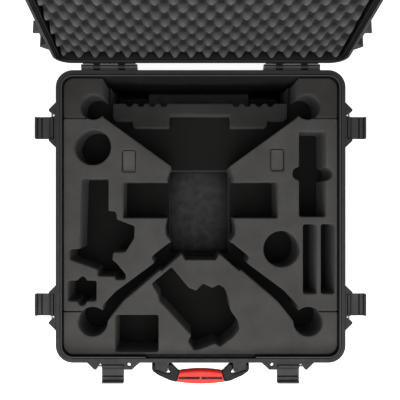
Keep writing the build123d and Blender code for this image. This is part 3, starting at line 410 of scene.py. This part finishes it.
def egg_crate():
    """A block whose open face is peaks and pits in offset rows, cut straight through at its sides."""
    low, high = shut_box("lid_foam_eggcrate")
    half_x, half_y = high.x - CRATE_MARGIN, high.y - CRATE_MARGIN
    across, along = round(2 * half_x / CRATE_STEP), round(2 * half_y / CRATE_STEP)
    back = high.z - CRATE_BACK_GAP
    mesh = bpy.data.meshes.new("lid_foam_eggcrate_soft")
    bm = bmesh.new()
    depth = bm.verts.layers.float.new(PIT_DEPTH)
    top = []
    for j in range(along + 1):
        row = []
        for i in range(across + 1):
            x, y = into_rounded(half_x * (2 * i / across - 1), half_y * (2 * j / along - 1),
                                half_x, half_y, CRATE_CORNER)
            wander = noise.noise_vector(Vector((x, y, 0)) * 26) * 1.6 * MM
            turn = math.cos(2 * math.pi * (x + wander.x - CRATE_PHASE_X) / CRATE_PITCH)
            down = math.cos(math.pi * (half_y - y + CRATE_PHASE_Y + wander.y) / CRATE_ROW)
            rise = 0.5 + 0.5 * turn * down
            uneven_by = 0.9 * MM * noise.noise(Vector((x, y, 0.3)) * 40)
            eased = rise + CRATE_EASE * (rise * rise * (3 - 2 * rise) - rise)
            eased = eased ** CRATE_NARROW
            z = low.z + CRATE_INSET + CRATE_DEEP * (1 - eased) + uneven_by
            row.append(bm.verts.new((x, y, z)))
            # the pit depth kept on each point drives painted shade in the pits
            row[-1][depth] = 1 - eased
        top.append(row)
    for j in range(along):
        for i in range(across):
            bm.faces.new((top[j][i], top[j + 1][i], top[j + 1][i + 1], top[j][i + 1]))
    rim = top[0][:-1] + [row[-1] for row in top[:-1]]
    rim += top[-1][:0:-1] + [row[0] for row in top[:0:-1]]
    previous = rim
    for k in range(1, CRATE_BANDS + 1):
        ring = [bm.verts.new((v.co.x, v.co.y, v.co.z + (back - v.co.z) * k / CRATE_BANDS)) for v in rim]
        # painted shade: the sheet's sides get pit-depth values that darken them more toward the back
        for v in ring:
            v[depth] = 0.5 + 0.5 * k / CRATE_BANDS
        for a in range(len(rim)):
            b = (a + 1) % len(rim)
            bm.faces.new((previous[a], previous[b], ring[b], ring[a]))
        previous = ring
    bm.faces.new(previous)
    bmesh.ops.recalc_face_normals(bm, faces=bm.faces)
    bm.to_mesh(mesh)
    bm.free()
    mesh.transform(LID_SWING)
    shade_smooth(mesh)
    piece = new_piece("lid_foam_eggcrate_soft", mesh, LID_FOAM, "lid")
    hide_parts("lid_foam_eggcrate")


egg_crate()


# ---------------------------------------------------------------- lid seal
RIM_HALF_X, RIM_CORNER = 303 * MM, 36 * MM
SEAL_WIDTH = 4 * MM
SEAL_STEPS = 24                           # steps across the beads


def rounded_loop(half_x, half_y, radius, per_corner=16):
    """Points round a rounded rectangle, with even steps on its corners."""
    points = []
    for cx, cy, start in ((1, 1, 0), (-1, 1, 90), (-1, -1, 180), (1, -1, 270)):
        for k in range(per_corner + 1):
            a = math.radians(start + 90 * k / per_corner)
            points.append((cx * (half_x - radius) + radius * math.cos(a),
                           cy * (half_y - radius) + radius * math.sin(a)))
    return points


def swept_loop(name, profile, half_x, half_y, radius, level):
    """A closed section swept round the rim; profile points are inset from the rim and height above level."""
    mesh = bpy.data.meshes.new(name)
    bm = bmesh.new()
    rings = []
    for inset, height in profile:
        loop = rounded_loop(half_x - inset, half_y - inset, radius - inset)
        rings.append([bm.verts.new((x, y, level + height)) for x, y in loop])
    count = len(rings[0])
    for a in range(len(rings)):
        b = (a + 1) % len(rings)
        for i in range(count):
            k = (i + 1) % count
            bm.faces.new((rings[a][i], rings[a][k], rings[b][k], rings[b][i]))
    bmesh.ops.recalc_face_normals(bm, faces=bm.faces)
    bm.to_mesh(mesh)
    bm.free()
    shade_smooth(mesh)
    return mesh


def lid_seal():
    """A rubber cord with two soft beads and a valley between them."""
    low, high = shut_box("lid_seal")
    half_x, half_y, height = high.x, high.y, high.z - low.z
    profile = []
    for k in range(SEAL_STEPS + 1):
        t = k / SEAL_STEPS
        bead = 0.5 - 0.5 * math.cos(4 * math.pi * t)
        profile.append((SEAL_WIDTH * t, height * (0.45 - 0.43 * bead ** 0.7)))
    profile += [(SEAL_WIDTH, height), (SEAL_WIDTH / 2, height), (0.0, height)]
    corner = RIM_CORNER - (RIM_HALF_X - half_x)
    mesh = swept_loop("lid_seal_beads", profile, half_x, half_y, corner, low.z)
    mesh.transform(LID_SWING)
    piece = new_piece("lid_seal_beads", mesh, SEAL, "lid")
    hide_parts("lid_seal")


lid_seal()


# ---------------------------------------------------------------- floor and lights
def floor():
    bpy.ops.mesh.primitive_plane_add(size=60, location=(0, 0, 0))
    plane = bpy.context.object
    plane.name = "floor"
    s = Shader("floor_paper")
    tone = s.ramp(s.noise(3, 3), 0, 1, 0.3, 0.7)
    paper = s.blend(tone, (0.9, 0.9, 0.9), (0.93, 0.93, 0.93))
    s.finish(Base_Color=paper, Roughness=0.9, Specular_IOR_Level=0.1,
             Emission_Color=(1, 1, 1, 1), Emission_Strength=0.84)
    plane.data.materials.append(s.material)


def area_light(name, at, aim, size, power):
    data = bpy.data.lights.new(name, "AREA")
    data.shape = "RECTANGLE"
    data.size, data.size_y = size
    data.energy = power
    lamp = bpy.data.objects.new(name, data)
    lamp.location = at
    lamp.rotation_euler = (Vector(aim) - Vector(at)).to_track_quat("-Z", "Y").to_euler()
    scene.collection.objects.link(lamp)
    lamp.visible_camera = False


def lights():
    world = bpy.data.worlds.new("studio")
    world.use_nodes = True
    background = world.node_tree.nodes["Background"]
    background.inputs["Color"].default_value = (1, 1, 1, 1)
    background.inputs["Strength"].default_value = 0.16
    scene.world = world
    area_light("overhead_softbox", (0, -0.7, 3.0), (0, -0.1, 0.2), (2.4, 1.8), 44)
    area_light("front_softbox", (-0.25, -1.5, 1.25), (-0.1, -0.2, 0.25), (1.8, 0.7), 15)
    area_light("left_softbox", (-2.8, -0.6, 1.9), (0, 0, 0.3), (1.4, 2.4), 4)
    area_light("right_softbox", (2.8, -0.6, 1.9), (0, 0, 0.3), (1.4, 2.4), 4)


floor()
lights()
scene.view_settings.view_transform = "Standard"
